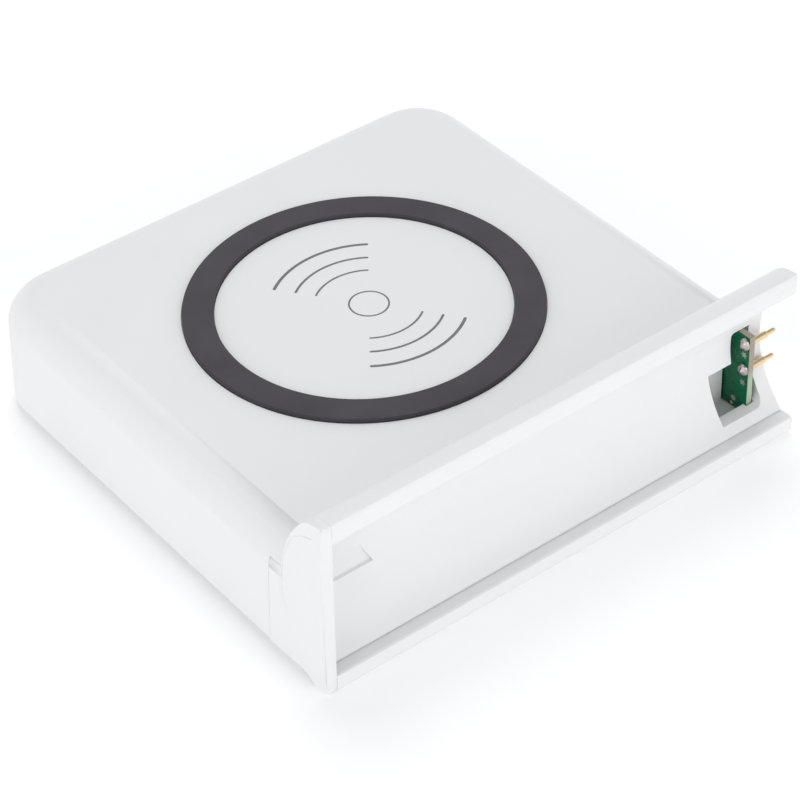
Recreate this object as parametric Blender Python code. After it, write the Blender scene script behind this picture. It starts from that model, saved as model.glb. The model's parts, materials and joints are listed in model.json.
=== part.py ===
"""Rail-mounted wireless charging pad, as a bench-strippable assembly of separate solids.

Frame: X runs along the rail, from the closed end cap to the open contact end. Y runs from the
saddle's lips to the pad's back edge. Z is up, and Z = 0 is what the feet and the lower lip rest on.
Lengths here are millimetres, counted from the cap's outer face and the lower lip's front face.
The finished object has its origin at the middle of its footprint, and is in metres.
"""

from math import asin, cos, pi, radians, sin, sqrt, tan

import bmesh
import bpy
from mathutils import Vector

MM = 0.001

# Pad
PAD_WIDTH = 138.0
PAD_BACK = 139.0
PAD_BOTTOM = 2.0
PAD_TOP = 31.2
DRAFT = radians(3.0)
CORNER_RADIUS = 16.0
TOP_EDGE_RADIUS = 8.0
BOTTOM_EDGE_RADIUS = 0.8
WALL = 2.4
GAP = 0.3

# Saddle: a shell round the rail's axis, with a lip above and below
RAIL_AXIS_Y = -13.0
RAIL_AXIS_Z = 24.2
CHANNEL_RADIUS = 25.5
SHELL_RADIUS = 29.3
HOLLOW_RADIUS = 28.1
SEAM_Y = 21.0
SEAM_TOP = 26.2
LIP_FRONT_Y = 1.7
LIP_TOP = 46.4
HOOK_BOTTOM = 39.4
CREST_Z = 43.9
CHANNEL_TOP = 40.4
CHANNEL_FOOT = 5.1
RELIEF_DROP = 3.0
CAP_THICKNESS = 2.7

# Ring and charging stack, on one vertical axis
RING_X = 66.7
RING_Y = 72.4
RING_OUTER = 43.0
RING_INNER = 35.5
RING_PROUD = 1.0
RING_SEAT = 0.8

# Contact board and its two spring pins
BOARD_THICKNESS = 1.6
BOARD_X = 131.1
PIN_Y = 9.9
PIN_ZS = (16.8, 24.4)
PIN_BARREL_END = 137.5
PIN_TIP = 140.4
BARREL_RADIUS = 0.88
BORE_RADIUS = 0.7
PLUNGER_RADIUS = 0.6
WINDOW_WALL_Y = 16.8

# The object's origin, in this file's millimetres
ORIGIN = Vector((PIN_TIP / 2, PAD_BACK / 2, 0.0))

# Screws
SCREW_SHANK = 1.1
SCREW_HEAD = 2.4
COVER_SCREWS = ((17.0, 36.0), (121.0, 36.0), (17.0, 122.0), (121.0, 122.0))
COVER_SCREW_SEAT = PAD_BOTTOM + 1.5
SADDLE_SCREW_XS = (22.0, 62.0, 100.0)
SADDLE_SCREW_Z = 14.0
FEET = ((30.0, 32.0), (108.0, 32.0), (30.0, 126.0), (108.0, 126.0))
FOOT_RADIUS = 6.0

# Main circuit board
MAIN_BOARD = ((84.0, 44.0), (128.0, 100.0))
MAIN_BOARD_Z = 7.0
MAIN_BOARD_TOP = MAIN_BOARD_Z + BOARD_THICKNESS

MATERIALS = {
    "white_plastic": ((0.80, 0.81, 0.82), 0.38, 0.0),
    "dark_rubber": ((0.075, 0.066, 0.08), 0.62, 0.0),
    "grey_rubber": ((0.30, 0.30, 0.31), 0.75, 0.0),
    "circuit_board": ((0.010, 0.10, 0.045), 0.35, 0.0),
    "gold": ((0.83, 0.60, 0.25), 0.22, 1.0),
    "solder": ((0.62, 0.61, 0.58), 0.35, 1.0),
    "steel": ((0.55, 0.55, 0.56), 0.30, 1.0),
    "copper": ((0.72, 0.33, 0.16), 0.35, 1.0),
    "ferrite": ((0.05, 0.05, 0.055), 0.55, 0.0),
    "chip_black": ((0.02, 0.02, 0.022), 0.5, 0.0),
    "ceramic": ((0.62, 0.52, 0.38), 0.5, 0.0),
    "red_wire": ((0.55, 0.02, 0.02), 0.45, 0.0),
    "black_wire": ((0.02, 0.02, 0.02), 0.45, 0.0),
}


def lean(z):
    """How far a side wall has leaned inward at height z."""
    return max(z - PAD_BOTTOM, 0.0) * tan(DRAFT)


def material(name):
    """The named Principled material, made on first use."""
    found = bpy.data.materials.get(name)
    if found:
        return found
    colour, roughness, metallic = MATERIALS[name]
    made = bpy.data.materials.new(name)
    made.use_nodes = True
    shader = made.node_tree.nodes["Principled BSDF"]
    shader.inputs["Base Color"].default_value = (*colour, 1.0)
    shader.inputs["Roughness"].default_value = roughness
    shader.inputs["Metallic"].default_value = metallic
    return made


def add_object(name, bm, material_name=None, smooth=False, pivot=(0, 0, 0)):
    """Links the bmesh, whose points are millimetres counted from the pivot, as an object with its origin there.
    Without a material it is a hidden cutter."""
    bmesh.ops.scale(bm, vec=(MM, MM, MM), verts=bm.verts)
    bmesh.ops.recalc_face_normals(bm, faces=bm.faces)
    mesh = bpy.data.meshes.new(name)
    bm.to_mesh(mesh)
    bm.free()
    obj = bpy.data.objects.new(name, mesh)
    bpy.context.scene.collection.objects.link(obj)
    obj.location = (Vector(pivot) - ORIGIN) * MM
    if material_name:
        mesh.materials.append(material(material_name))
    else:
        obj.hide_render = True
        obj.display_type = "WIRE"
    if smooth:
        mesh.shade_smooth()
        mesh.set_sharp_from_angle(angle=radians(35))
    return obj


def boolean(obj, other, operation="DIFFERENCE"):
    """Adds an exact Boolean of obj with the helper object other."""
    modifier = obj.modifiers.new(f"{operation.lower()}_{other.name}", "BOOLEAN")
    modifier.operation = operation
    modifier.object = other


def loft(rings):
    """A solid through rings of equal point count, closed at both ends."""
    bm = bmesh.new()
    loops = [[bm.verts.new(point) for point in ring] for ring in rings]
    for low, high in zip(loops, loops[1:]):
        count = len(low)
        for i in range(count):
            j = (i + 1) % count
            bm.faces.new((low[i], low[j], high[j], high[i]))
    bm.faces.new(reversed(loops[0]))
    bm.faces.new(loops[-1])
    return bm


def prism_x(outline, low_x, high_x):
    """Extrudes a (Y, Z) outline along X. low_x and high_x are numbers, or functions of Z."""
    low = low_x if callable(low_x) else (lambda z: low_x)
    high = high_x if callable(high_x) else (lambda z: high_x)
    return loft([[(low(z), y, z) for y, z in outline], [(high(z), y, z) for y, z in outline]])


def prism_z(outline, low_z, high_z):
    """Extrudes an (X, Y) outline along Z."""
    return loft([[(x, y, low_z) for x, y in outline], [(x, y, high_z) for x, y in outline]])


def prism_y(outline, low_y, high_y):
    """Extrudes an (X, Z) outline along Y."""
    return loft([[(x, low_y, z) for x, z in outline], [(x, high_y, z) for x, z in outline]])


def block(low, high):
    """An axis-aligned box between two corners."""
    outline = [(low[1], low[2]), (high[1], low[2]), (high[1], high[2]), (low[1], high[2])]
    return prism_x(outline, low[0], high[0])


def turned(profile, steps, centre, axis="Z"):
    """A solid turned from (radius, along) points. A radius of 0 becomes a single point on the axis."""
    bm = bmesh.new()
    along_first = {"X": lambda r, a, t: (a, r * cos(t), r * sin(t)),
                   "Y": lambda r, a, t: (r * sin(t), a, r * cos(t)),
                   "Z": lambda r, a, t: (r * cos(t), r * sin(t), a)}[axis]
    rings = []
    for radius, along in profile:
        turns = [0.0] if radius == 0 else [2 * pi * i / steps for i in range(steps)]
        rings.append([bm.verts.new(Vector(centre) + Vector(along_first(radius, along, t))) for t in turns])
    pairs = list(zip(rings, rings[1:]))
    if profile[0][0] and profile[-1][0]:
        pairs.append((rings[-1], rings[0]))
    for one, two in pairs:
        for i in range(steps):
            j = (i + 1) % steps
            corners = [one[i % len(one)], one[j % len(one)], two[j % len(two)], two[i % len(two)]]
            unique = [v for k, v in enumerate(corners) if v not in corners[:k]]
            if len(unique) > 2:
                bm.faces.new(unique)
    return bm


def disc(radius, low, high, steps, centre, axis="Z"):
    """A plain round plate or post."""
    return turned([(0, low), (radius, low), (radius, high), (0, high)], steps, centre, axis)


def annulus(inner, outer, low, high, steps, centre, axis="Z"):
    """A flat ring with square edges."""
    return turned([(inner, low), (outer, low), (outer, high), (inner, high)], steps, centre, axis)


def tube_along(points, radius, sides):
    """A round wire along a list of points, with closed ends."""
    rings = []
    side = None
    for i, point in enumerate(points):
        before = Vector(points[max(i - 1, 0)])
        after = Vector(points[min(i + 1, len(points) - 1)])
        direction = (after - before).normalized()
        if side is None:
            side = direction.orthogonal().normalized()
        side = (side - direction * side.dot(direction)).normalized()
        other = direction.cross(side)
        angles = [2 * pi * k / sides for k in range(sides)]
        rings.append([Vector(point) + (side * cos(a) + other * sin(a)) * radius for a in angles])
    return loft(rings)


def smooth_path(stops, steps):
    """Points on a Catmull-Rom curve through the stops."""
    stops = [Vector(stop) for stop in stops]
    padded = [stops[0]] + stops + [stops[-1]]
    points = []
    for a, b, c, d in zip(padded, padded[1:], padded[2:], padded[3:]):
        for k in range(steps):
            t = k / steps
            points.append(0.5 * (2 * b + (c - a) * t + (2 * a - 5 * b + 4 * c - d) * t * t
                                 + (3 * b - a - 3 * c + d) * t ** 3))
    return points + [stops[-1]]


def arc(centre, radius, start, end, steps):
    """Points on an arc between two angles in degrees."""
    angles = [radians(start + (end - start) * i / steps) for i in range(steps + 1)]
    return [(centre[0] + radius * cos(a), centre[1] + radius * sin(a)) for a in angles]


def curve(start, control, end, steps):
    """Points on a quadratic curve that leaves start and reaches end along their lines to control."""
    spans = [i / steps for i in range(steps + 1)]
    return [tuple((1 - t) ** 2 * s + 2 * t * (1 - t) * c + t * t * e for s, c, e in zip(start, control, end))
            for t in spans]


def pad_outline(inset, front):
    """The pad's (X, Y) outline, moved inward by inset. Its front edge is at Y = front."""
    radius = max(CORNER_RADIUS - inset, 1.0)
    low_x, high_x, back = inset, PAD_WIDTH - inset, PAD_BACK - inset
    return ([(low_x, front), (high_x, front)]
            + arc((high_x - radius, back - radius), radius, 0, 90, 8)
            + arc((low_x + radius, back - radius), radius, 90, 180, 8))


def pad_shell(inset, front, low, high, edge_radius, bottom_radius=0.0):
    """The pad's drafted body from low to high, with a rounded top edge."""
    rings = []
    if bottom_radius:
        for i in range(3):
            angle = pi / 2 * i / 2
            rings.append((bottom_radius * (1 - sin(angle)), low + bottom_radius * (1 - cos(angle))))
    else:
        rings.append((0.0, low))
        if low < PAD_BOTTOM:
            rings.append((0.0, PAD_BOTTOM))
    for i in range(7):
        angle = pi / 2 * i / 6
        rings.append((edge_radius * (1 - cos(angle)), high - edge_radius * (1 - sin(angle))))
    return loft([[(x, y, z) for x, y in pad_outline(inset + extra + lean(z), front)] for extra, z in rings])


def on_circle(radius, z):
    """Y of the rail-centred circle at height z, on the pad's side."""
    return RAIL_AXIS_Y + sqrt(radius ** 2 - (z - RAIL_AXIS_Z) ** 2)


def circle_angle(radius, z):
    """Angle in degrees of the rail-centred circle at height z."""
    return asin((z - RAIL_AXIS_Z) / radius) * 180 / pi


def lip_crest():
    """The upper lip from the shell's outer face, over the crest, to the lip's front face."""
    points = curve((on_circle(SHELL_RADIUS, CREST_Z), CREST_Z), (6.6, 45.9), (4.0, 46.2), 6)
    return points + [(2.4, LIP_TOP), (LIP_FRONT_Y + 0.2, LIP_TOP - 0.2), (LIP_FRONT_Y, LIP_TOP - 0.7)]


def hook():
    """The upper lip's rounded lower edge, down its front face and back to the channel."""
    face_bottom = 42.6
    return curve((LIP_FRONT_Y, face_bottom), (LIP_FRONT_Y, HOOK_BOTTOM), (4.6, HOOK_BOTTOM), 6)


def lower_lip():
    """The lower lip from the channel's groove round to its underside."""
    groove_z, ledge_z = 4.6, 4.95
    return [(3.9, groove_z), (3.3, groove_z), (3.3, ledge_z),
            (0.7, ledge_z), (0.2, ledge_z - 0.2), (0.0, ledge_z - 0.7)] + arc((1.6, 1.6), 1.6, 180, 270, 4)


def shell_section():
    """(Y, Z) outline of the saddle's curved shell with both lips."""
    bottom = circle_angle(SHELL_RADIUS, PAD_BOTTOM)
    top = circle_angle(SHELL_RADIUS, CREST_Z)
    axis = (RAIL_AXIS_Y, RAIL_AXIS_Z)
    outer = arc(axis, SHELL_RADIUS, bottom, top, 20)
    channel = arc(axis, CHANNEL_RADIUS, circle_angle(CHANNEL_RADIUS, CHANNEL_TOP),
                  circle_angle(CHANNEL_RADIUS, CHANNEL_FOOT), 26)
    return [(4.4, 0.0)] + outer[:-1] + lip_crest() + hook() + channel + lower_lip()


def cap_section():
    """(Y, Z) outline of the end cap: the shell's outer outline, closed straight across the channel."""
    low = circle_angle(SHELL_RADIUS, SEAM_TOP)
    high = circle_angle(SHELL_RADIUS, CREST_Z)
    outer = arc((RAIL_AXIS_Y, RAIL_AXIS_Z), SHELL_RADIUS, low, high, 10)
    front = [(0.0, 4.25)] + arc((1.6, 1.6), 1.6, 180, 270, 4)
    foot = [(4.4, 0.0), (5.4, 0.9), (6.8, 1.7), (8.8, PAD_BOTTOM), (SEAM_Y - GAP / 2, PAD_BOTTOM)]
    return foot + [(SEAM_Y - GAP / 2, SEAM_TOP - GAP)] + [(outer[0][0] + 0.2, SEAM_TOP - GAP)] \
        + outer[:-1] + lip_crest() + front


def build_rail_saddle():
    """Curved shell and lips, the box behind them that bolts to the pad, and its cut-outs."""
    def left(z):
        """X of the face that the end cap stands against."""
        return CAP_THICKNESS + GAP + lean(z)

    saddle = add_object("rail_saddle", prism_x(shell_section(), left, PAD_WIDTH), "white_plastic", smooth=True)

    back = add_object("saddle_back", pad_shell(0.0, -20.0, PAD_BOTTOM, PAD_TOP, TOP_EDGE_RADIUS, BOTTOM_EDGE_RADIUS))
    limits = add_object("saddle_back_limits", prism_x(
        [(3.0, 0.0), (SEAM_Y - GAP / 2, 0.0), (SEAM_Y - GAP / 2, SEAM_TOP - GAP), (3.0, SEAM_TOP - GAP)],
        left, PAD_WIDTH + 2))
    core = add_object("saddle_back_core", disc(SHELL_RADIUS - 0.4, -5.0, PAD_WIDTH + 5, 96,
                                               (0, RAIL_AXIS_Y, RAIL_AXIS_Z), "X"))
    boolean(back, limits, "INTERSECT")
    boolean(back, core)
    boolean(saddle, back, "UNION")

    hollow = add_object("saddle_hollow", block((-2.0, 5.0, 3.4), (135.4, 18.4, 23.0)))
    hollow_core = add_object("saddle_hollow_core", disc(HOLLOW_RADIUS, -5.0, PAD_WIDTH + 5, 96,
                                                        (0, RAIL_AXIS_Y, RAIL_AXIS_Z), "X"))
    window_wall = add_object("window_wall", block((117.0, WINDOW_WALL_Y, 3.0), (130.7, 19.5, 24.0)))
    tunnel = add_object("lead_tunnel", block((108.5, WINDOW_WALL_Y + 0.8, 8.0), (134.9, 19.4, 14.6)))
    boolean(hollow, hollow_core)
    boolean(hollow, window_wall)
    boolean(saddle, hollow)
    boolean(saddle, tunnel)

    window_outline = [(121.2, 18.7), (121.2, 7.0)] + arc((132.0, 9.2), 2.2, 270, 360, 6) + [(134.2, 18.7)]
    window = add_object("contact_window", prism_y(window_outline, 2.0, WINDOW_WALL_Y))
    slot_outline = [(134.2, 18.0), (134.2, 27.3)] + arc((129.6, 26.3), 1.0, 90, 180, 4) + [(128.6, 18.0)]
    slot = add_object("contact_slot", prism_y(slot_outline, 2.0, 15.2))
    board_room = add_object("contact_board_room", block((130.75, 8.2, 3.45), (133.1, 16.0, 19.0)))
    boolean(saddle, window)
    boolean(saddle, slot)
    boolean(saddle, board_room)

    relief = add_object("cap_relief", prism_y([(-2.0, 19.0), (22.5, 19.0), (18.7, 26.4), (-2.0, 26.4)], 5.0, 15.0))
    relief_core = add_object("cap_relief_core", disc(CHANNEL_RADIUS + 0.3, -5.0, PAD_WIDTH, 96,
                                                     (0, RAIL_AXIS_Y, RAIL_AXIS_Z - RELIEF_DROP), "X"))
    boolean(relief, relief_core, "INTERSECT")
    boolean(saddle, relief)

    lead_hole = add_object("saddle_lead_hole", block((108.0, 17.0, 8.0), (115.0, 22.0, 12.0)))
    boolean(saddle, lead_hole)
    for number, x in enumerate(SADDLE_SCREW_XS, 1):
        hole = add_object(f"saddle_screw_hole_{number}", disc(SCREW_SHANK + 0.25, 17.0, 22.0, 16,
                                                              (x, 0, SADDLE_SCREW_Z), "Y"))
        boolean(saddle, hole)


def cap_point(y, z, depth):
    """A point of the cap's outline at a depth behind its outer face, whose lower edge is rounded off."""
    reach = max(1.0 - depth / 1.2, 0.0)
    rounding = 1.0 - sqrt(1.0 - reach ** 2)
    low_down = max(1.0 - z / 4.0, 0.0)
    forward = min(max((SEAM_Y - y) / 12.0, 0.15), 1.0)
    y += 0.9 * rounding * low_down ** 2 * forward
    z += 1.3 * rounding * low_down * forward
    return (lean(z) + depth, y, z)


def build_end_cap():
    """Side plate that closes the saddle's left end, with two pegs that locate it in the hollow."""
    rings = [[cap_point(y, z, depth) for y, z in cap_section()] for depth in (0.0, 0.4, 0.8, 1.2, CAP_THICKNESS)]
    cap = add_object("end_cap", loft(rings), "white_plastic", smooth=True)
    waste = add_object("cap_shoulder_waste", block((-3.0, 16.0, 23.7), (6.0, 22.0, 27.0)))
    pad = add_object("cap_shoulder_pad", pad_shell(0.0, -20.0, PAD_BOTTOM, PAD_TOP, TOP_EDGE_RADIUS,
                                                   BOTTOM_EDGE_RADIUS))
    boolean(waste, pad)
    boolean(cap, waste)
    for number, (y, z) in enumerate(((15.4, 8.0), (16.4, 19.5)), 1):
        peg = add_object(f"cap_peg_{number}", disc(1.6, 2.0, 8.5, 20, (0, y, z), "X"))
        boolean(cap, peg, "UNION")


def build_top_housing():
    """Drafted shell of the pad: rounded top edge, ring seat, front wall and screw bosses."""
    housing = add_object("top_housing", pad_shell(0.0, -20.0, PAD_BOTTOM, PAD_TOP, TOP_EDGE_RADIUS,
                                                  BOTTOM_EDGE_RADIUS), "white_plastic", smooth=True)
    front = add_object("housing_front_cut", block((-5.0, -25.0, -5.0), (PAD_WIDTH + 5, SEAM_Y + GAP / 2, SEAM_TOP)))
    rail = add_object("housing_rail_cut", disc(SHELL_RADIUS + GAP, -5.0, PAD_WIDTH + 5, 96,
                                               (0, RAIL_AXIS_Y, RAIL_AXIS_Z), "X"))
    cavity = add_object("housing_cavity", pad_shell(WALL, SEAM_Y + WALL, -3.0, PAD_TOP - WALL, TOP_EDGE_RADIUS - WALL))
    boolean(housing, front)
    boolean(housing, rail)
    boolean(housing, cavity)

    seat = add_object("ring_seat", annulus(RING_INNER - 0.2, RING_OUTER + 0.2, PAD_TOP - RING_SEAT, PAD_TOP + 3,
                                           96, (RING_X, RING_Y, 0)))
    boolean(housing, seat)
    for number, (x, y) in enumerate(COVER_SCREWS, 1):
        boss = add_object(f"housing_boss_{number}", annulus(SCREW_SHANK + 0.25, 3.4, 4.8, PAD_TOP - WALL + 1.0,
                                                            20, (x, y, 0)))
        boolean(housing, boss, "UNION")
    lead_hole = add_object("housing_lead_hole", block((108.0, 20.0, 8.0), (115.0, 25.0, 12.0)))
    boolean(housing, lead_hole)
    for number, x in enumerate(SADDLE_SCREW_XS, 1):
        hole = add_object(f"housing_screw_hole_{number}", disc(SCREW_SHANK + 0.35, 20.0, 25.0, 16,
                                                               (x, 0, SADDLE_SCREW_Z), "Y"))
        boolean(housing, hole)


def build_bottom_cover():
    """Closing plate with posts for the main board and countersunk screw holes."""
    inset = WALL + GAP
    outline = pad_outline(inset, SEAM_Y + WALL + GAP)
    cover = add_object("bottom_cover", prism_z(outline, PAD_BOTTOM, PAD_BOTTOM + 2.2), "white_plastic", smooth=True)
    for number, (x, y) in enumerate(board_posts(), 1):
        post = add_object(f"cover_post_{number}", annulus(SCREW_SHANK + 0.25, 2.6, PAD_BOTTOM + 1.5,
                                                          MAIN_BOARD_Z - 0.25, 16, (x, y, 0)))
        boolean(cover, post, "UNION")
    for number, (x, y) in enumerate(COVER_SCREWS, 1):
        profile = [(0, 0.0), (SCREW_HEAD + 0.35, 0.0), (SCREW_HEAD + 0.35, COVER_SCREW_SEAT),
                   (SCREW_SHANK + 0.35, COVER_SCREW_SEAT), (SCREW_SHANK + 0.35, 6.0), (0, 6.0)]
        hole = add_object(f"cover_hole_{number}", turned(profile, 20, (x, y, 0)))
        boolean(cover, hole)


def build_ring():
    """Dark anti-slip ring, seated in the top and standing slightly proud."""
    low = PAD_TOP - RING_SEAT + GAP
    high = PAD_TOP + RING_PROUD
    chamfer = 0.2
    profile = [(RING_INNER, low), (RING_OUTER, low), (RING_OUTER, high - chamfer), (RING_OUTER - chamfer, high),
               (RING_INNER + chamfer, high), (RING_INNER, high - chamfer)]
    add_object("anti_slip_ring", turned(profile, 96, (RING_X, RING_Y, 0)), "dark_rubber", smooth=True)


def build_charging_stack():
    """Carrier on three legs, ferrite sheet and flat transmitter coil under the ring's centre."""
    centre = (RING_X, RING_Y, 0)
    carrier = add_object("coil_carrier", disc(29.0, 21.0, 22.6, 48, centre), "white_plastic", smooth=True)
    for number in range(3):
        angle = 2 * pi * number / 3 + pi / 3
        spot = (RING_X + 22.0 * cos(angle), RING_Y + 22.0 * sin(angle), 0)
        leg = add_object(f"carrier_leg_{number + 1}", disc(2.2, PAD_BOTTOM + 2.2 + GAP, 21.5, 16, spot))
        boolean(carrier, leg, "UNION")
    add_object("ferrite_shield", disc(26.0, 22.9, 24.4, 48, centre), "ferrite", smooth=True)
    add_object("transmitter_coil", annulus(10.5, 25.0, 24.7, 26.6, 48, centre), "copper", smooth=True)


def board_posts():
    """(X, Y) of the main board's screws."""
    (low_x, low_y), (high_x, high_y) = MAIN_BOARD
    return [(high_x - 4.0, low_y + 4.0), (high_x - 4.0, high_y - 4.0)]


def build_main_board():
    """Power board beside the coil, with the parts a charging circuit needs."""
    (low_x, low_y), (high_x, high_y) = MAIN_BOARD
    board = add_object("main_board", block((low_x, low_y, MAIN_BOARD_Z), (high_x, high_y, MAIN_BOARD_TOP)),
                       "circuit_board")
    for number, (x, y) in enumerate(board_posts(), 1):
        hole = add_object(f"board_hole_{number}", disc(SCREW_SHANK + 0.3, 5.0, 10.0, 16, (x, y, 0)))
        boolean(board, hole)
    base = MAIN_BOARD_TOP + 0.15

    def part(name, x, y, size, height, material_name):
        half_x, half_y = size[0] / 2, size[1] / 2
        add_object(name, block((x - half_x, y - half_y, base), (x + half_x, y + half_y, base + height)), material_name)

    part("controller_chip", 104.0, 76.0, (7.0, 7.0), 1.0, "chip_black")
    part("bridge_driver_chip", 104.0, 62.0, (5.0, 6.0), 1.0, "chip_black")
    part("regulator_chip", 114.0, 52.0, (4.0, 5.0), 1.4, "chip_black")
    part("power_inductor", 118.0, 64.0, (7.0, 7.0), 4.0, "ferrite")
    for number in range(4):
        part(f"resonance_capacitor_{number + 1}", 94.0, 60.0 + 6.0 * number, (5.0, 3.2), 2.2, "ceramic")
    part("lead_socket", 111.0, 46.4, (7.0, 4.0), 4.2, "white_plastic")


def build_contact_board():
    """Upright board whose narrow head stands in the window and carries the two pins."""
    outline = [(8.6, 3.8), (17.9, 3.8), (17.9, 8.6), (19.1, 8.6), (19.1, 14.0), (17.9, 14.0),
               (17.9, 22.5), (14.8, 22.5), (14.8, 26.9), (8.6, 26.9)]
    add_object("contact_board", prism_x(outline, BOARD_X, BOARD_X + BOARD_THICKNESS), "circuit_board")


def build_pin(number, z):
    """One spring pin: barrel, sliding plunger, spring and solder joint. Its axis runs along X."""
    centre = (0, PIN_Y, z)
    base = BOARD_X + BOARD_THICKNESS + 0.2
    bore_floor = base + 0.4
    mouth = PIN_BARREL_END - 0.3
    barrel = [(0, base), (BARREL_RADIUS, base), (BARREL_RADIUS, PIN_BARREL_END - 0.25),
              (BARREL_RADIUS - 0.2, PIN_BARREL_END), (PLUNGER_RADIUS + 0.05, PIN_BARREL_END),
              (PLUNGER_RADIUS + 0.05, mouth), (BORE_RADIUS + 0.03, mouth), (BORE_RADIUS + 0.03, bore_floor),
              (0, bore_floor)]
    add_object(f"pin_barrel_{number}", turned(barrel, 20, centre, "X"), "gold", smooth=True)

    tail, collar_end = mouth - 0.75, mouth - 0.15
    dome = [(PLUNGER_RADIUS * cos(a), PIN_TIP - PLUNGER_RADIUS * (1 - sin(a)))
            for a in (0.0, pi / 8, pi / 4, 3 * pi / 8)]
    plunger = [(0, tail), (BORE_RADIUS - 0.03, tail), (BORE_RADIUS - 0.03, collar_end),
               (PLUNGER_RADIUS, collar_end)] + dome + [(0, PIN_TIP)]
    add_object(f"pin_plunger_{number}", turned([(r, a - PIN_TIP) for r, a in plunger], 20, (0, 0, 0), "X"),
               "gold", smooth=True, pivot=(PIN_TIP, PIN_Y, z))

    turns, per_turn, wire = 4.0, 8, 0.09
    start, end = bore_floor + 0.15, tail - 0.15
    count = int(turns * per_turn)
    helix = [(start + wire + (end - start - 2 * wire) * i / count,
              PIN_Y + 0.42 * cos(2 * pi * i / per_turn), z + 0.42 * sin(2 * pi * i / per_turn))
             for i in range(count + 1)]
    add_object(f"pin_spring_{number}", tube_along(helix, wire, 5), "steel", smooth=True)

    face = BOARD_X - 0.15
    joint = [(0, face), (1.15, face), (1.0, face - 0.35), (0.62, face - 0.8), (0.45, face - 1.1), (0, face - 1.2)]
    add_object(f"solder_joint_{number}", turned(joint, 16, centre, "X"), "solder", smooth=True)


def build_leads():
    """Two insulated leads from the contact board, through the back wall, to the main board's socket."""
    for name, colour, drop, x in (("supply_lead", "red_wire", 0.0, 113.2), ("return_lead", "black_wire", 2.0, 109.8)):
        z = 11.2 - drop
        stops = [(BOARD_X - 0.5, 18.5, z + 1.4), (125.0, 18.5, z + 1.2), (118.0, 18.5, z), (x + 1.6, 18.5, z),
                 (x, 20.0, z), (x, 26.0, z), (x, 36.0, 10.8), (x, 43.9, 10.8)]
        add_object(name, tube_along(smooth_path(stops, 4), 0.6, 8), colour, smooth=True)


def screw(name, place, direction, shank):
    """A pan-head screw. It points along -direction from the underside of its head at place."""
    head = 1.1
    profile = [(0, -shank), (SCREW_SHANK, -shank), (SCREW_SHANK, 0), (SCREW_HEAD, 0), (SCREW_HEAD, head - 0.3),
               (SCREW_HEAD - 0.3, head), (0.9, head), (0.9, head - 0.8), (0, head - 0.8)]
    body = add_object(name, turned(profile, 16, (0, 0, 0)), "steel", smooth=True, pivot=place)
    body.rotation_mode = "QUATERNION"
    body.rotation_quaternion = Vector((0, 0, 1)).rotation_difference(Vector(direction))


def build_screws_and_feet():
    for number, (x, y) in enumerate(COVER_SCREWS, 1):
        screw(f"cover_screw_{number}", (x, y, COVER_SCREW_SEAT - GAP), (0, 0, -1), 8.0)
    for number, x in enumerate(SADDLE_SCREW_XS, 1):
        screw(f"saddle_screw_{number}", (x, SEAM_Y + WALL + GAP, SADDLE_SCREW_Z), (0, 1, 0), 5.0)
    for number, (x, y) in enumerate(board_posts(), 1):
        screw(f"board_screw_{number}", (x, y, MAIN_BOARD_TOP + 0.2), (0, 0, 1), 4.6)
    for number, (x, y) in enumerate(FEET, 1):
        profile = [(0, 0), (FOOT_RADIUS - 0.5, 0), (FOOT_RADIUS, 0.5), (FOOT_RADIUS, PAD_BOTTOM - 0.2),
                   (0, PAD_BOTTOM - 0.2)]
        add_object(f"rubber_foot_{number}", turned(profile, 28, (x, y, 0)), "grey_rubber", smooth=True)


def main():
    for obj in list(bpy.data.objects):
        bpy.data.objects.remove(obj)
    build_top_housing()
    build_bottom_cover()
    build_rail_saddle()
    build_end_cap()
    build_ring()
    build_charging_stack()
    build_main_board()
    build_contact_board()
    for number, z in enumerate(PIN_ZS, 1):
        build_pin(number, z)
    build_leads()
    build_screws_and_feet()


main()
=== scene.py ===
"""Looks of the rail-mounted wireless charging pad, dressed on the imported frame.

All lengths are metres in the row frame. The constants in millimetres are turned into metres by MM.
"""

import json
from math import cos, pi, radians, sin, tan

import bmesh
import bpy
from mathutils import Matrix, Vector, noise


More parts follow.
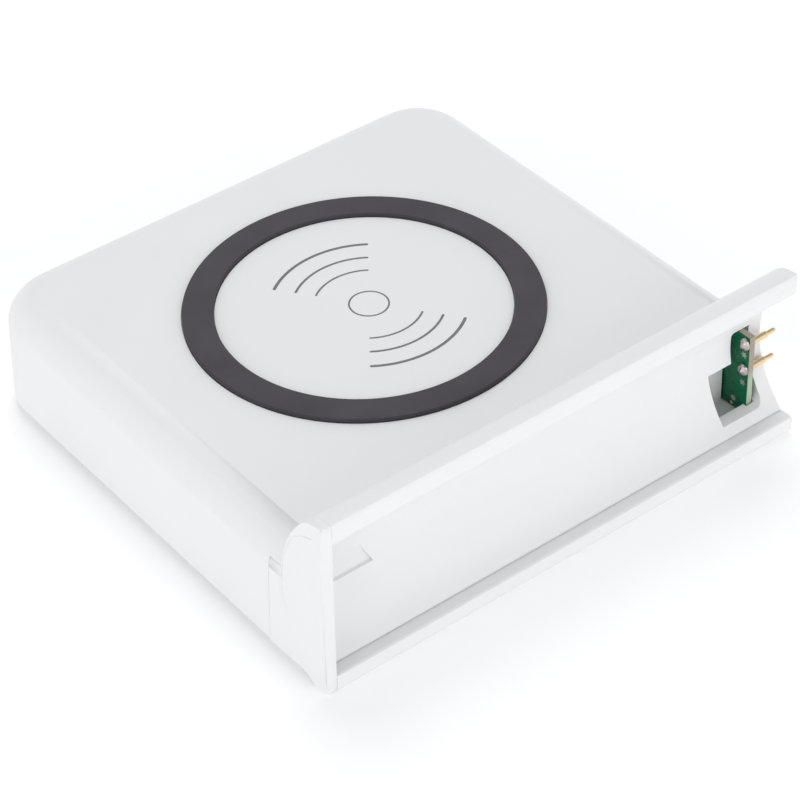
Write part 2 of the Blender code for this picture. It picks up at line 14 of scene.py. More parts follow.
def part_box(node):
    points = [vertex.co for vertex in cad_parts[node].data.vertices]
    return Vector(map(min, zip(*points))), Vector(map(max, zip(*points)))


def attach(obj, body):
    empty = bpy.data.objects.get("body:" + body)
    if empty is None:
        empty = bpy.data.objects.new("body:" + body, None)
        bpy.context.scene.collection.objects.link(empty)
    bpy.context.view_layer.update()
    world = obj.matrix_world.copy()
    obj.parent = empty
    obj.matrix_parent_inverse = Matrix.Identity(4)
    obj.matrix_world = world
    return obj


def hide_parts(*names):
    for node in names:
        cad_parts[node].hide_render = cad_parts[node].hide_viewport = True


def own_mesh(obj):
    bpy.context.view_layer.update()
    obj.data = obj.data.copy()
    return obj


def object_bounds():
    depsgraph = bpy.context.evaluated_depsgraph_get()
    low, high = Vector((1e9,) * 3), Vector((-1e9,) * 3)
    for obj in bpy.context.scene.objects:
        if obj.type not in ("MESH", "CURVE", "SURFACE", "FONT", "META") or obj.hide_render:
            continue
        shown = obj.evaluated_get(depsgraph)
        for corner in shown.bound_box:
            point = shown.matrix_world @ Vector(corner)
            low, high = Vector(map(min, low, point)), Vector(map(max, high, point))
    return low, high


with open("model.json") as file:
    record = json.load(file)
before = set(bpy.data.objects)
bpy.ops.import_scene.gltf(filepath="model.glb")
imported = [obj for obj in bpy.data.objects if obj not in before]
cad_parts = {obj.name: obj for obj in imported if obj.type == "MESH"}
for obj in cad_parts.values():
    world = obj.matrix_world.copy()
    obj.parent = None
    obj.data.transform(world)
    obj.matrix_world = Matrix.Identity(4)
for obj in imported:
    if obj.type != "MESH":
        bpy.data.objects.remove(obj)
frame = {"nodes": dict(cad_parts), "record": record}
cad_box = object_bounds()

MM = 0.001
BASE = "module"

# Wall lean, cap and seams, as the CAD has them
DRAFT = radians(3.0)
WALL_FOOT = 2.0 * MM
SEAM_GAP = 0.3 * MM
SEAM_TOP = 26.2 * MM
CAP_SEAM_DEPTH = 3.0 * MM
LIP_UNDERSIDE = 44.5 * MM
NEAR = 0.05 * MM

# How far each parting gap is closed, so that it shows as a fine line
TOP_SEAM_CLOSE = 0.27 * MM
BACK_SEAM_CLOSE = 0.2 * MM
CAP_SEAM_CLOSE = 0.17 * MM

# Edges that turn more than SHARP_ANGLE stay sharp. Copies of the CAD are welded and their flats merged.
SHARP_ANGLE = radians(32)
WELD_DISTANCE = 0.001 * MM
FLAT_ANGLE = radians(0.3)

# Ring and print. PRINT_WAVES holds each arc's radius and line width in millimetres.
RING_STEPS = 192
RING_EDGE = 0.4 * MM
RING_WIDTH = 7.5 * MM
PRINT_CENTRE = Vector((-2.2, 2.7)) * MM
PRINT_SIZE = 4.75 * MM
PRINT_LINE = 0.42 * MM
PRINT_WAVES = ((13.1, 0.5), (18.15, 0.6), (23.5, 0.78))
PRINT_HALF_SWEEP = 36.0
WAVE_STEPS = 32
PRINT_INK = 0.03 * MM

# Contact board: the heights over which its cut edge turns darker and browner, its solder pads and its solder
# beads.
# BEAD_PROFILE holds (height off the board, radius) in millimetres.
EDGE_BROWN_LOW = 14.0 * MM
EDGE_BROWN_HIGH = 17.5 * MM
PAD_LIFT = 0.05 * MM
STAR_OUTER = 1.15 * MM
STAR_INNER = 0.55 * MM
BEAD_PROFILE = ((0.0, 0.0), (0.0, 1.5), (0.2, 1.52), (0.5, 1.45), (0.8, 1.27), (1.05, 1.0),
                (1.22, 0.7), (1.4, 0.45), (1.52, 0.25), (1.55, 0.0))
BEAD_STRETCH = 1.25
BEAD_SHIFT = 0.2 * MM
BEAD_WOBBLE = 0.1 * MM

# Camera: place, angles and lens of the product shot
CAMERA_PLACE = Vector((-304.2, -417.1, 430.6)) * MM
CAMERA_AZIMUTH = radians(-36.44)
CAMERA_ELEVATION = radians(39.70)
CAMERA_ROLL = radians(-2.28)
CAMERA_LENS = 124.6

scene = bpy.context.scene
scene.view_settings.view_transform = "Standard"


# ---------------------------------------------------------------- materials

def shader_of(name):
    """A new node material and its Principled shader."""
    made = bpy.data.materials.new(name)
    made.use_nodes = True
    return made, made.node_tree.nodes["Principled BSDF"]


def noise_node(tree, coordinates, scale, detail=3.0, roughness=0.5):
    """Noise whose scale is in bumps for each metre."""
    made = tree.nodes.new("ShaderNodeTexNoise")
    made.inputs["Scale"].default_value = scale
    made.inputs["Detail"].default_value = detail
    made.inputs["Roughness"].default_value = roughness
    tree.links.new(coordinates, made.inputs["Vector"])
    return made.outputs["Fac"]


def remap(tree, value, low, high, start=0.3, end=0.7):
    """The value's range start to end, spread over low to high."""
    made = tree.nodes.new("ShaderNodeMapRange")
    made.inputs["From Min"].default_value = start
    made.inputs["From Max"].default_value = end
    made.inputs["To Min"].default_value = low
    made.inputs["To Max"].default_value = high
    tree.links.new(value, made.inputs["Value"])
    return made.outputs["Result"]


def ramp(tree, value, stops):
    """Colours by value. stops are (place, colour) pairs."""
    made = tree.nodes.new("ShaderNodeValToRGB")
    elements = made.color_ramp.elements
    while len(elements) < len(stops):
        elements.new(0.5)
    for element, (place, colour) in zip(elements, stops):
        element.position = place
        element.color = (*colour, 1.0)
    tree.links.new(value, made.inputs["Fac"])
    return made.outputs["Color"]


def bump(tree, height, distance, strength):
    """A normal pushed out by height, over the distance in metres."""
    made = tree.nodes.new("ShaderNodeBump")
    made.inputs["Distance"].default_value = distance
    made.inputs["Strength"].default_value = strength
    tree.links.new(height, made.inputs["Height"])
    return made.outputs["Normal"]


def shade(colour, factor):
    """The colour, lighter or darker by the factor."""
    return tuple(min(channel * factor, 1.0) for channel in colour)


def finish_material(name, colour, roughness, metallic=0.0, spread=0.03, rough_spread=0.04,
                    tone_scale=35.0, grain_scale=2600.0, grain_depth=0.015, grain_strength=0.25,
                    specular=0.5, coat=0.0):
    """A surface with a slightly uneven tone, an uneven polish and a fine grain."""
    made, shader = shader_of(name)
    tree = made.node_tree
    coordinates = tree.nodes.new("ShaderNodeTexCoord").outputs["Object"]
    tone = noise_node(tree, coordinates, tone_scale)
    tree.links.new(ramp(tree, tone, [(0.3, shade(colour, 1 - spread)), (0.7, shade(colour, 1 + spread))]),
                   shader.inputs["Base Color"])
    polish = noise_node(tree, coordinates, tone_scale * 7, 4.0)
    tree.links.new(remap(tree, polish, roughness - rough_spread, roughness + rough_spread),
                   shader.inputs["Roughness"])
    grain = noise_node(tree, coordinates, grain_scale, 2.0)
    tree.links.new(bump(tree, grain, grain_depth * MM, grain_strength), shader.inputs["Normal"])
    shader.inputs["Metallic"].default_value = metallic
    shader.inputs["Specular IOR Level"].default_value = specular
    shader.inputs["Coat Weight"].default_value = coat
    return made


def rubber_material(name, colour, roughness):
    """Moulded silicone: dark, matt, with a fine pebbled skin and faint wear."""
    made, shader = shader_of(name)
    tree = made.node_tree
    coordinates = tree.nodes.new("ShaderNodeTexCoord").outputs["Object"]
    tone = noise_node(tree, coordinates, 60.0, 5.0, 0.6)
    tree.links.new(ramp(tree, tone, [(0.3, shade(colour, 0.9)), (0.7, shade(colour, 1.1))]),
                   shader.inputs["Base Color"])
    tree.links.new(remap(tree, tone, roughness + 0.05, roughness - 0.05), shader.inputs["Roughness"])
    pebbles = tree.nodes.new("ShaderNodeTexVoronoi")
    pebbles.inputs["Scale"].default_value = 3200.0
    tree.links.new(coordinates, pebbles.inputs["Vector"])
    tree.links.new(bump(tree, pebbles.outputs["Distance"], 0.02 * MM, 0.35), shader.inputs["Normal"])
    shader.inputs["Sheen Weight"].default_value = 0.08
    shader.inputs["Sheen Roughness"].default_value = 0.4
    return made


def board_material(name):
    """Green solder mask over copper: darker bare areas, lighter where tracks run under it."""
    made, shader = shader_of(name)
    tree = made.node_tree
    coordinates = tree.nodes.new("ShaderNodeTexCoord").outputs["Object"]
    tracks = tree.nodes.new("ShaderNodeTexBrick")
    tracks.inputs["Scale"].default_value = 260.0
    tracks.inputs["Mortar Size"].default_value = 0.03
    tracks.inputs["Color1"].default_value = (0.0, 0.150, 0.062, 1.0)
    tracks.inputs["Color2"].default_value = (0.0, 0.170, 0.072, 1.0)
    tracks.inputs["Mortar"].default_value = (0.0, 0.125, 0.052, 1.0)
    turn = tree.nodes.new("ShaderNodeMapping")
    turn.inputs["Rotation"].default_value = (0.0, radians(90), 0.0)
    tree.links.new(coordinates, turn.inputs["Vector"])
    tree.links.new(turn.outputs["Vector"], tracks.inputs["Vector"])
    cloud = noise_node(tree, coordinates, 180.0, 3.0)
    mix = tree.nodes.new("ShaderNodeMix")
    mix.data_type = "RGBA"
    mix.blend_type = "MULTIPLY"
    mix.inputs["Factor"].default_value = 1.0
    tree.links.new(tracks.outputs["Color"], mix.inputs["A"])
    tree.links.new(ramp(tree, cloud, [(0.3, (0.75, 0.75, 0.75)), (0.7, (1.0, 1.0, 1.0))]), mix.inputs["B"])
    tree.links.new(mix.outputs["Result"], shader.inputs["Base Color"])
    tree.links.new(remap(tree, cloud, 0.22, 0.34), shader.inputs["Roughness"])
    tree.links.new(bump(tree, tracks.outputs["Fac"], 0.02 * MM, 0.4), shader.inputs["Normal"])
    shader.inputs["Specular IOR Level"].default_value = 0.25
    return made


def laminate_material(name):
    """The board's cut edge: glass cloth layers in pale resin, darker and browner towards the top."""
    made, shader = shader_of(name)
    tree = made.node_tree
    coordinates = tree.nodes.new("ShaderNodeTexCoord").outputs["Object"]
    layers = tree.nodes.new("ShaderNodeTexWave")
    layers.bands_direction = "X"
    layers.inputs["Scale"].default_value = 900.0
    layers.inputs["Distortion"].default_value = 1.2
    layers.inputs["Detail"].default_value = 2.0
    tree.links.new(coordinates, layers.inputs["Vector"])
    height = tree.nodes.new("ShaderNodeSeparateXYZ")
    tree.links.new(coordinates, height.inputs["Vector"])
    # The edge turns darker and browner between these two heights and stays so above them.
    brown_share = remap(tree, height.outputs["Z"], 0.0, 1.0, EDGE_BROWN_LOW, EDGE_BROWN_HIGH)
    mix = tree.nodes.new("ShaderNodeMix")
    mix.data_type = "RGBA"
    tree.links.new(brown_share, mix.inputs["Factor"])
    tree.links.new(ramp(tree, layers.outputs["Fac"], [(0.2, (0.34, 0.43, 0.31)), (0.8, (0.46, 0.54, 0.41))]),
                   mix.inputs["A"])
    tree.links.new(ramp(tree, layers.outputs["Fac"], [(0.2, (0.30, 0.25, 0.18)), (0.8, (0.40, 0.34, 0.27))]),
                   mix.inputs["B"])
    tree.links.new(mix.outputs["Result"], shader.inputs["Base Color"])
    tree.links.new(remap(tree, layers.outputs["Fac"], 0.45, 0.6, 0.0, 1.0), shader.inputs["Roughness"])
    tree.links.new(bump(tree, layers.outputs["Fac"], 0.02 * MM, 0.3), shader.inputs["Normal"])
    return made


def wound_material(name, colour):
    """Enamelled wire laid side by side: fine concentric ridges, with painted shade darkening the grooves
    between turns.
    """
    made, shader = shader_of(name)
    tree = made.node_tree
    coordinates = tree.nodes.new("ShaderNodeTexCoord").outputs["Object"]
    low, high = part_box("transmitter_coil")
    centre = tree.nodes.new("ShaderNodeMapping")
    centre.inputs["Location"].default_value = -(low + high) / 2
    tree.links.new(coordinates, centre.inputs["Vector"])
    turns = tree.nodes.new("ShaderNodeTexWave")
    turns.wave_type = "RINGS"
    turns.rings_direction = "Z"
    turns.inputs["Scale"].default_value = 320.0
    tree.links.new(centre.outputs["Vector"], turns.inputs["Vector"])
    # Painted shade: the copper colour drops to 0.45 in the grooves between turns, where the bump is lowest.
    tree.links.new(ramp(tree, turns.outputs["Fac"], [(0.0, shade(colour, 0.45)), (0.6, colour)]),
                   shader.inputs["Base Color"])
    tree.links.new(bump(tree, turns.outputs["Fac"], 0.15 * MM, 0.8), shader.inputs["Normal"])
    shader.inputs["Metallic"].default_value = 1.0
    shader.inputs["Roughness"].default_value = 0.32
    return made


FINISHES = {
    "white_shell": finish_material("satin_white_shell", (0.815, 0.82, 0.825), 0.42, spread=0.008,
                                   rough_spread=0.03, grain_depth=0.012, grain_strength=0.18),
    "white_inner": finish_material("matt_white_inner", (0.70, 0.71, 0.72), 0.6, spread=0.02,
                                   grain_scale=1500.0, grain_depth=0.03),
    "dark_rubber": rubber_material("dark_silicone", (0.032, 0.027, 0.038), 0.6),
    "grey_rubber": rubber_material("grey_rubber_foot", (0.26, 0.26, 0.27), 0.7),
    "circuit_board": board_material("green_solder_mask"),
    "gold": finish_material("gold_plate", (0.84, 0.66, 0.42), 0.09, metallic=1.0, spread=0.05,
                            tone_scale=400.0, grain_scale=6000.0, grain_depth=0.004, grain_strength=0.2),
    "solder": finish_material("bright_solder", (0.46, 0.42, 0.41), 0.14, metallic=1.0, spread=0.2,
                              rough_spread=0.12, tone_scale=700.0, grain_scale=1100.0, grain_depth=0.25,
                              grain_strength=0.9),
    "steel": finish_material("zinc_steel", (0.56, 0.56, 0.57), 0.3, metallic=1.0, spread=0.08,
                             tone_scale=300.0, grain_scale=5000.0, grain_depth=0.006),
    "copper": wound_material("enamelled_copper", (0.75, 0.34, 0.16)),
    "ferrite": finish_material("sintered_ferrite", (0.045, 0.045, 0.05), 0.5, spread=0.25,
                               tone_scale=250.0, grain_scale=1800.0, grain_depth=0.04),
    "chip_black": finish_material("moulded_epoxy", (0.022, 0.022, 0.024), 0.48, spread=0.2,
                                  tone_scale=500.0, grain_scale=4000.0, grain_depth=0.02),
    "ceramic": finish_material("fired_ceramic", (0.55, 0.45, 0.31), 0.4, spread=0.12,
                               tone_scale=500.0, grain_scale=3500.0, grain_depth=0.02),
    "red_wire": finish_material("red_insulation", (0.50, 0.02, 0.02), 0.35, spread=0.1, tone_scale=200.0),
    "black_wire": finish_material("black_insulation", (0.02, 0.02, 0.02), 0.35, spread=0.15,
                                  tone_scale=200.0),
}
LAMINATE = laminate_material("board_laminate_edge")
PAD_TIN = finish_material("tinned_pad", (0.62, 0.60, 0.52), 0.35, metallic=0.9, spread=0.12,
                          tone_scale=900.0, grain_scale=3500.0, grain_depth=0.01)
INK = finish_material("grey_pad_print", (0.155, 0.158, 0.172), 0.5, spread=0.08, tone_scale=300.0,
                      grain_scale=6000.0, grain_depth=0.004)


# ---------------------------------------------------------------- pieces

def link_mesh(name, bm, material, sharp=SHARP_ANGLE):
    """The bmesh as a smooth object with sharp edges kept."""
    bmesh.ops.recalc_face_normals(bm, faces=bm.faces)
    mesh = bpy.data.meshes.new(name)
    bm.to_mesh(mesh)
    bm.free()
    mesh.materials.append(material)
    mesh.shade_smooth()
    mesh.set_sharp_from_angle(angle=sharp)
    made = bpy.data.objects.new(name, mesh)
    scene.collection.objects.link(made)
    return made


def piece(made, body=BASE, nodes=()):
    """Puts a finished object on its body, in place of the CAD nodes it stands for."""
    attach(made, body)
    if nodes:
        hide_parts(*nodes)
    return made


def weighted(made):
    """Large flat faces keep their shading beside rounded edges."""
    modifier = made.modifiers.new("weighted_normals", "WEIGHTED_NORMAL")
    modifier.keep_sharp = True
    modifier.weight = 80


def copy_of(node):
    """The CAD node's surface, with its split corners joined."""
    bm = bmesh.new()
    bm.from_mesh(frame["nodes"][node].data)
    bmesh.ops.remove_doubles(bm, verts=bm.verts, dist=WELD_DISTANCE)
    bmesh.ops.dissolve_limit(bm, angle_limit=FLAT_ANGLE, verts=bm.verts, edges=bm.edges)
    return bm


def loft(rings, closed_ring=False):
    """A solid through rings of equal point count. A closed ring joins its last loop to its first."""
    bm = bmesh.new()
    loops = [[bm.verts.new(point) for point in ring] for ring in rings]
    pairs = list(zip(loops, loops[1:]))
    if closed_ring:
        pairs.append((loops[-1], loops[0]))
    for low, high in pairs:
        count = len(low)
        for i in range(count):
            j = (i + 1) % count
            bm.faces.new((low[i], low[j], high[j], high[i]))
    if not closed_ring:
        bm.faces.new(reversed(loops[0]))
        bm.faces.new(loops[-1])
    return bm


def turned_x(profile, steps, centre_y, centre_z, wobble=0.0):
    """A solid turned round an X axis from (X, radius) points; its ends close on the axis."""
    bm = bmesh.new()
    rings = []
    for x, radius in profile:
        turns = range(1) if radius == 0 else range(steps)
        points = []
        for i in turns:
            angle = 2 * pi * i / steps
            point = Vector((x, centre_y + radius * cos(angle), centre_z + radius * sin(angle)))
            if wobble and radius:
                push = noise.noise(point * 900.0) * wobble
                point.y += push * cos(angle)
                point.z += push * sin(angle)
                point.x += noise.noise(point * 1100.0) * wobble
            points.append(bm.verts.new(point))
        rings.append(points)
    for one, two in zip(rings, rings[1:]):
        for i in range(steps):
            j = (i + 1) % steps
            corners = [one[i % len(one)], one[j % len(one)], two[j % len(two)], two[i % len(two)]]
            unique = [v for k, v in enumerate(corners) if v not in corners[:k]]
            if len(unique) > 2:
                bm.faces.new(unique)
    return bm


def plate(outline, low, high, axis="Z"):
    """A flat plate from an outline: (X, Y) points raised along Z, or (Y, Z) points raised along X."""
    place = {"Z": lambda a, b, h: (a, b, h), "X": lambda a, b, h: (h, a, b)}[axis]
    return loft([[place(a, b, low) for a, b in outline], [place(a, b, high) for a, b in outline]])


def join(parts):
    """Several bmeshes as one."""
    whole = bmesh.new()
    for part in parts:
        mesh = bpy.data.meshes.new("joined")
        part.to_mesh(mesh)
        part.free()
        whole.from_mesh(mesh)
        bpy.data.meshes.remove(mesh)
    return whole


def smooth_path(stops, steps):
    """Points on a Catmull-Rom curve through the stops."""
    stops = [Vector(stop) for stop in stops]
    padded = [stops[0]] + stops + [stops[-1]]
    points = []
    for a, b, c, d in zip(padded, padded[1:], padded[2:], padded[3:]):
        for k in range(steps):
            t = k / steps
            points.append(0.5 * (2 * b + (c - a) * t + (2 * a - 5 * b + 4 * c - d) * t * t
                                 + (3 * b - a - 3 * c + d) * t ** 3))
    return points + [stops[-1]]


def tube(points, radius, sides):
    """A round tube along points, with closed ends."""
    rings = []
    side = None
    for i, point in enumerate(points):
        direction = (points[min(i + 1, len(points) - 1)] - points[max(i - 1, 0)]).normalized()
        side = side or direction.orthogonal().normalized()
        side = (side - direction * side.dot(direction)).normalized()
        other = direction.cross(side)
        rings.append([point + (side * cos(2 * pi * k / sides) + other * sin(2 * pi * k / sides)) * radius
                      for k in range(sides)])
    return loft(rings)


def tighten_seams(node, bm):
    """Draws the moulded parting lines as fine as they look when the shells are pressed together."""
    cap_low, cap_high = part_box("end_cap")
    back = cap_high.y
    for vert in bm.verts:
        x, y, z = vert.co
        if node == "top_housing" and y < back + 0.4 * MM:
            if abs(z - SEAM_TOP) < NEAR:
                vert.co.z -= TOP_SEAM_CLOSE
            elif abs(y - back - SEAM_GAP) < NEAR:
                vert.co.y -= BACK_SEAM_CLOSE
        if node == "rail_saddle":
            face = cap_low.x + max(z - WALL_FOOT, 0) * tan(DRAFT) + CAP_SEAM_DEPTH
            if abs(x - face) < NEAR:
                vert.co.x -= TOP_SEAM_CLOSE if z > LIP_UNDERSIDE else CAP_SEAM_CLOSE


def build_shells():
    """Pad top, saddle, cap and base, smoothly shaded."""
    names = {"top_housing": "pad_top_shell", "rail_saddle": "rail_saddle_shell",
             "end_cap": "saddle_end_cap"}
    for node, name in names.items():
        surface = copy_of(node)
        tighten_seams(node, surface)
        made = link_mesh(name, surface, FINISHES["white_shell"])
        if node == "end_cap":
            groove_cap(made)
        weighted(made)
        piece(made, nodes=[node])
    cover = link_mesh("base_cover", copy_of("bottom_cover"), FINISHES["white_inner"])
    weighted(cover)
    piece(cover, nodes=["bottom_cover"])


def groove_cap(cap):
    """A fine moulded line round the cap's outer face, just inside its curved edge."""
    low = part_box("end_cap")[0]
    stops = ((15.9, 21.0), (15.9, 24.0), (15.0, 31.2), (12.0, 37.4), (8.6, 40.6), (5.0, 42.0))
    path = smooth_path([low + Vector((max(z * MM - WALL_FOOT, 0) * tan(DRAFT), y * MM, z * MM))
                        for y, z in stops], 8)
    cutter = link_mesh("cap_line_cutter", tube(path, 0.16 * MM, 8), FINISHES["white_shell"])
    cutter.hide_render = True
    cutter.hide_viewport = True
    cut = cap.modifiers.new("moulded_line", "BOOLEAN")
    cut.operation = "DIFFERENCE"
    cut.object = cutter


def build_ring():
    """Anti-slip ring with softly rounded edges."""
    low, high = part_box("anti_slip_ring")
    centre = (low + high) / 2
    outer = (high.x - low.x) / 2
    inner = outer - RING_WIDTH
    section = [(inner, low.z), (outer, low.z)]
    for start, radius_centre in ((0, outer - RING_EDGE), (90, inner + RING_EDGE)):
        for i in range(7):
            angle = radians(start + 15 * i)
            section.append((radius_centre + RING_EDGE * cos(angle),
                            high.z - RING_EDGE + RING_EDGE * sin(angle)))
    rings = []
    for i in range(RING_STEPS):
        angle = 2 * pi * i / RING_STEPS
        rings.append([(centre.x + r * cos(angle), centre.y + r * sin(angle), z) for r, z in section])
    made = link_mesh("anti_slip_ring_soft", loft(rings, closed_ring=True), FINISHES["dark_rubber"],
                     radians(50))
    piece(made, nodes=["anti_slip_ring"])


def wave(radius, width, middle):
    """Outline of one printed arc with round ends."""
    half = width / 2
    start, end = radians(middle - PRINT_HALF_SWEEP), radians(middle + PRINT_HALF_SWEEP)
    points = []
    for i in range(WAVE_STEPS + 1):
        angle = start + (end - start) * i / WAVE_STEPS
        points.append(Vector((cos(angle), sin(angle))) * (radius + half))
    tip = Vector((cos(end), sin(end))) * radius
    points += [tip + Vector((cos(end + pi * k / 8), sin(end + pi * k / 8))) * half for k in range(1, 8)]
    for i in range(WAVE_STEPS + 1):
        angle = end + (start - end) * i / WAVE_STEPS
        points.append(Vector((cos(angle), sin(angle))) * (radius - half))
    tip = Vector((cos(start), sin(start))) * radius
    points += [tip + Vector((cos(start + pi + pi * k / 8), sin(start + pi + pi * k / 8))) * half
               for k in range(1, 8)]
    return [PRINT_CENTRE + point for point in points]


def build_print():
    """The plain radio-wave sign printed inside the ring: a circle and three arcs on each side."""
    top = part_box("top_housing")[1].z
    parts = []
    for radius, width in PRINT_WAVES:
        for middle in (90, 270):
            parts.append(plate(wave(radius * MM, width * MM, middle), top - PRINT_INK, top + PRINT_INK))
    rings = []
    for i in range(72):
        angle = 2 * pi * i / 72
        around = Vector((cos(angle), sin(angle)))
        corners = [(-1, -1), (1, -1), (1, 1), (-1, 1)]
        rings.append([(*(PRINT_CENTRE + around * (PRINT_SIZE + a * PRINT_LINE / 2)), top + b * PRINT_INK)
                      for a, b in corners])
    parts.append(loft(rings, closed_ring=True))
    piece(link_mesh("printed_radio_waves", join(parts), INK))


def star(centre, outer, inner, points):
    """Outline of a small splayed solder pad."""
    outline = []
    for i in range(2 * points):
        angle = pi * i / points
        radius = outer if i % 2 == 0 else inner
        outline.append((centre[0] + radius * cos(angle), centre[1] + radius * sin(angle)))
    return outline


def round_outline(centre, radius, steps=28):
    """Outline of a round solder pad."""
    return [(centre[0] + radius * cos(2 * pi * i / steps), centre[1] + radius * sin(2 * pi * i / steps))
            for i in range(steps)]


def build_contact_board():
    """Board with masked faces, bare laminate edges, and tinned pads round the pins."""
    bm = copy_of("contact_board")
    made = link_mesh("contact_board_masked", bm, FINISHES["circuit_board"])
    made.data.materials.append(LAMINATE)
    for polygon in made.data.polygons:
        polygon.material_index = 0 if abs(polygon.normal.x) > 0.5 else 1
    piece(made, nodes=["contact_board"])

    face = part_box("contact_board")[0].x
    pins = [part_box(f"pin_barrel_{number}") for number in (1, 2)]
    centres = [((low.y + high.y) / 2, (low.z + high.z) / 2) for low, high in pins]
    parts = []
    for (y, z), drop in zip(centres, (4.0, 3.3)):
        outline = star((y + 0.4 * MM, z - drop * MM), STAR_OUTER, STAR_INNER, 6)
        parts.append(plate(outline, face - PAD_LIFT, face, "X"))
    y, z = centres[0]
    for dy, dz, radius in ((3.1, -10.4, 0.75), (3.6, -12.2, 0.5)):
        parts.append(plate(round_outline((y + dy * MM, z + dz * MM), radius * MM),
                           face - PAD_LIFT, face, "X"))
    piece(link_mesh("board_solder_pads", join(parts), PAD_TIN))

    for number, (y, z) in enumerate(centres, 1):
        profile = [(face - height * MM, radius * MM) for height, radius in BEAD_PROFILE]
        surface = turned_x(profile, 40, y + BEAD_SHIFT, z, BEAD_WOBBLE)
        for vert in surface.verts:
            vert.co.z = z + (vert.co.z - z) * BEAD_STRETCH
        bead = link_mesh(f"solder_bead_{number}", surface, FINISHES["solder"], radians(80))
        piece(bead, nodes=[f"solder_joint_{number}"])


def build_pins():
    """Gold barrels and domed plungers, finely turned, and the springs."""
    for number in (1, 2):
        low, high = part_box(f"pin_barrel_{number}")
        y, z = (low.y + high.y) / 2, (low.z + high.z) / 2
        radius = (high.y - low.y) / 2
        mouth, bore, lead_in = 0.66 * MM, 0.73 * MM, 0.35 * MM
        lip, floor = 0.3 * MM, 0.4 * MM
        profile = [(low.x, 0), (low.x, radius), (high.x - lead_in, radius)]
        for i in range(1, 7):
            turn = radians(15 * i)
            profile.append((high.x - lead_in + lead_in * sin(turn), mouth + (radius - mouth) * cos(turn)))
        profile += [(high.x - lip, mouth), (high.x - lip, bore), (low.x + floor, bore), (low.x + floor, 0)]
        barrel = link_mesh(f"gold_barrel_{number}", turned_x(profile, 48, y, z), FINISHES["gold"])
        piece(barrel, nodes=[f"pin_barrel_{number}"])

        low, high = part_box(f"pin_plunger_{number}")
        tip, collar, collar_length = 0.6 * MM, 0.67 * MM, 0.6 * MM
        profile = [(low.x, 0), (low.x, collar), (low.x + collar_length, collar), (low.x + collar_length, tip)]
        for i in range(9):
            turn = radians(90 * i / 8)
            profile.append((high.x - tip + tip * sin(turn), tip * cos(turn)))
        profile[-1] = (high.x, 0)
        plunger = link_mesh(f"gold_plunger_{number}", turned_x(profile, 48, y, z), FINISHES["gold"])
        piece(plunger, body=f"plunger_{number}", nodes=[f"pin_plunger_{number}"])

        low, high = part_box(f"pin_spring_{number}")
        spring = link_mesh(f"return_spring_{number}", copy_of(f"pin_spring_{number}"), FINISHES["steel"])
        piece(spring, nodes=[f"pin_spring_{number}"])
        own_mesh(spring)


def dress_other_nodes():
    """The CAD nodes that stay take their slot's finish; round ones are smoothed."""
    slots = {part["node"]: part["material_slot"] for part in frame["record"]["subparts"]}
    for node, made in frame["nodes"].items():
        if made.hide_render:
            continue
        slot_name = slots[node]
        if node.startswith(("rubber_foot", "cover_screw")):
            smooth = link_mesh(f"{node}_smooth", copy_of(node), FINISHES[slot_name])
            weighted(smooth)
            piece(smooth, nodes=[node])
            continue
        made.data.materials.clear()
        made.data.materials.append(FINISHES[slot_name])


def area_light(name, place, target, size, power):
    """A rectangular soft light at place, facing target."""
    data = bpy.data.lights.new(name, "AREA")
    data.shape = "RECTANGLE"
    data.size, data.size_y = size
    data.energy = power
    made = bpy.data.objects.new(name, data)
    made.location = place
    made.rotation_euler = (Vector(target) - Vector(place)).to_track_quat("-Z", "Y").to_euler()
    scene.collection.objects.link(made)


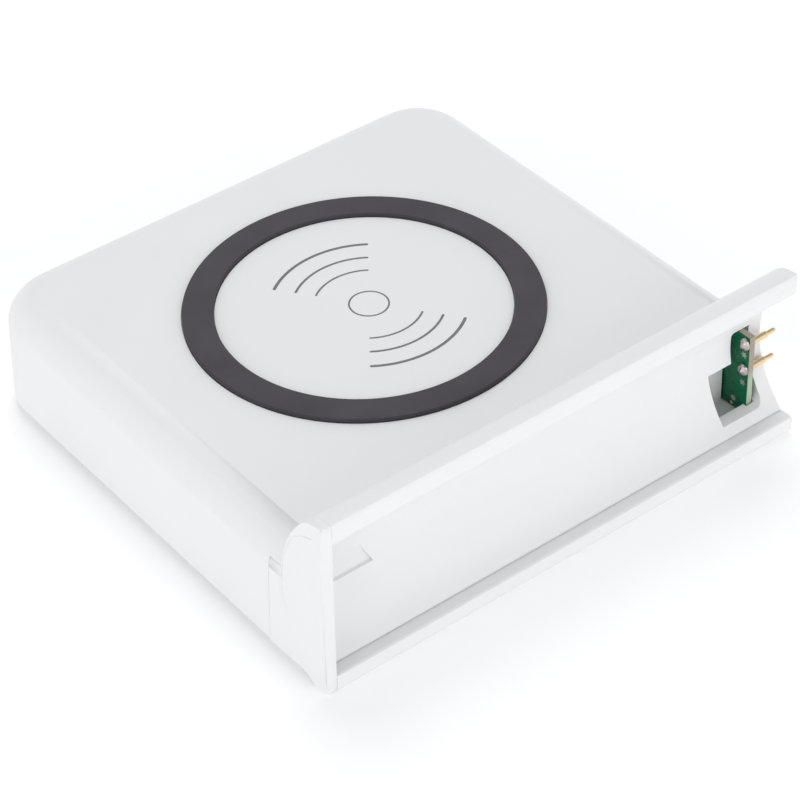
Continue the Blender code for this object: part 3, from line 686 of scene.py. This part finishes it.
def build_studio():
    """Pale floor, soft lights and an even white surround."""
    floor_mesh = bmesh.new()
    bmesh.ops.create_grid(floor_mesh, x_segments=4, y_segments=4, size=3.0)
    material, shader = shader_of("pale_floor")
    tree = material.node_tree
    coordinates = tree.nodes.new("ShaderNodeTexCoord").outputs["Object"]
    tone = noise_node(tree, coordinates, 3.0)
    tree.links.new(ramp(tree, tone, [(0.3, (0.93, 0.93, 0.935)), (0.7, (0.95, 0.95, 0.955))]),
                   shader.inputs["Base Color"])
    shader.inputs["Roughness"].default_value = 0.8
    shader.inputs["Emission Color"].default_value = (1.0, 1.0, 1.0, 1.0)
    shader.inputs["Emission Strength"].default_value = 0.16
    floor = link_mesh("studio_floor", floor_mesh, material)
    floor.location.z = cad_box[0][2] - 0.02 * MM

    world = bpy.data.worlds.new("soft_surround")
    scene.world = world
    world.use_nodes = True
    background = world.node_tree.nodes["Background"]
    sky = world.node_tree
    direction = sky.nodes.new("ShaderNodeSeparateXYZ")
    sky.links.new(sky.nodes.new("ShaderNodeTexCoord").outputs["Generated"], direction.inputs["Vector"])
    sky.links.new(ramp(sky, direction.outputs["Z"], [(0.15, (0.99, 0.99, 1.0)), (0.8, (0.34, 0.345, 0.35))]),
                  background.inputs["Color"])
    background.inputs["Strength"].default_value = 1.15
    area_light("left_softbox", (-1.1, -0.35, 0.55), (0, 0, 0.02), (1.0, 0.8), 2.6)
    area_light("front_softbox", (0.15, -1.3, 0.5), (0, 0, 0.02), (1.2, 0.7), 3.2)
    area_light("top_softbox", (0.3, 0.6, 1.4), (0, 0, 0.02), (0.9, 0.9), 7.0)


def build_camera():
    """The product shot's camera, from its azimuth, elevation and roll."""
    back = Vector((sin(CAMERA_AZIMUTH) * cos(CAMERA_ELEVATION),
                   -cos(CAMERA_AZIMUTH) * cos(CAMERA_ELEVATION), sin(CAMERA_ELEVATION)))
    level = Vector((cos(CAMERA_AZIMUTH), sin(CAMERA_AZIMUTH), 0.0))
    upright = back.cross(level)
    right = level * cos(CAMERA_ROLL) + upright * sin(CAMERA_ROLL)
    up = upright * cos(CAMERA_ROLL) - level * sin(CAMERA_ROLL)
    data = bpy.data.cameras.new("product_camera")
    data.lens = CAMERA_LENS
    data.sensor_width = 36.0
    data.clip_start = 0.01
    made = bpy.data.objects.new("product_camera", data)
    made.matrix_world = Matrix((right, up, back)).transposed().to_4x4()
    made.location = CAMERA_PLACE
    scene.collection.objects.link(made)
    scene.camera = made


build_camera()
build_studio()
build_shells()
build_ring()
build_print()
build_contact_board()
build_pins()
dress_other_nodes()
